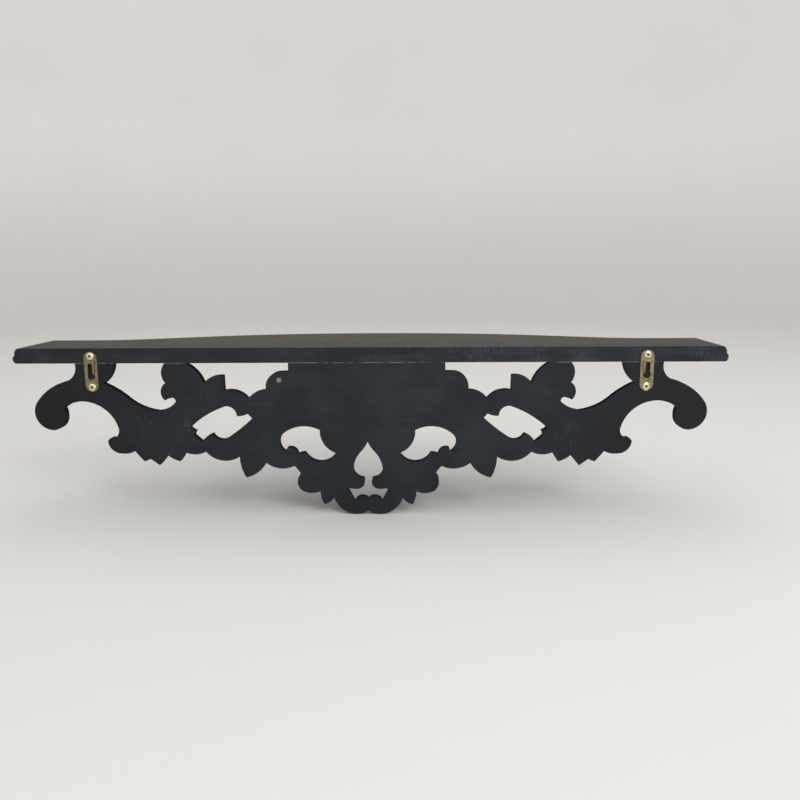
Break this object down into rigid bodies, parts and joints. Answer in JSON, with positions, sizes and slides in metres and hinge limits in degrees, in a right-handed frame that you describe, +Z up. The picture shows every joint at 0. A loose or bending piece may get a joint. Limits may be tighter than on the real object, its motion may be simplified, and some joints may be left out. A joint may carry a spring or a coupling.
{
  "type": "wall shelf with fretwork bracket panel",
  "caption": "Bow-fronted wooden wall shelf on a scroll-sawn fretwork bracket panel, painted dark, hung on keyhole plates screwed across the joint at its back",
  "frame": {"origin": "middle of the shelf board's straight back edge, at half its thickness", "axes": "+Y points at the wall, +X runs along the shelf, +Z is up"},
  "size_m": [0.7366, 0.1552, 0.179],
  "materials": {
    "painted_board": "satin charcoal black paint on pine, worn at the edges",
    "painted_panel": "satin charcoal black paint on sawn pine, worn at the edges",
    "hanger_brass": "pressed sheet, slightly tarnished",
    "screw_brass": "bright plated screw",
    "dowel_beech": "plain beech"
  },
  "bodies": {
    "root": {"shelf_board": "painted_board", "fretwork_panel": "painted_panel", "hanger_plate_left": "hanger_brass", "hanger_plate_right": "hanger_brass", "hanger_screw_left_upper": "screw_brass", "hanger_screw_left_lower": "screw_brass", "hanger_screw_right_upper": "screw_brass", "hanger_screw_right_lower": "screw_brass", "dowel_neck_left": "dowel_beech", "dowel_neck_right": "dowel_beech", "dowel_leaf_left": "dowel_beech", "dowel_leaf_right": "dowel_beech", "dowel_middle_left": "dowel_beech", "dowel_middle_right": "dowel_beech"}
  },
  "joints": []
}
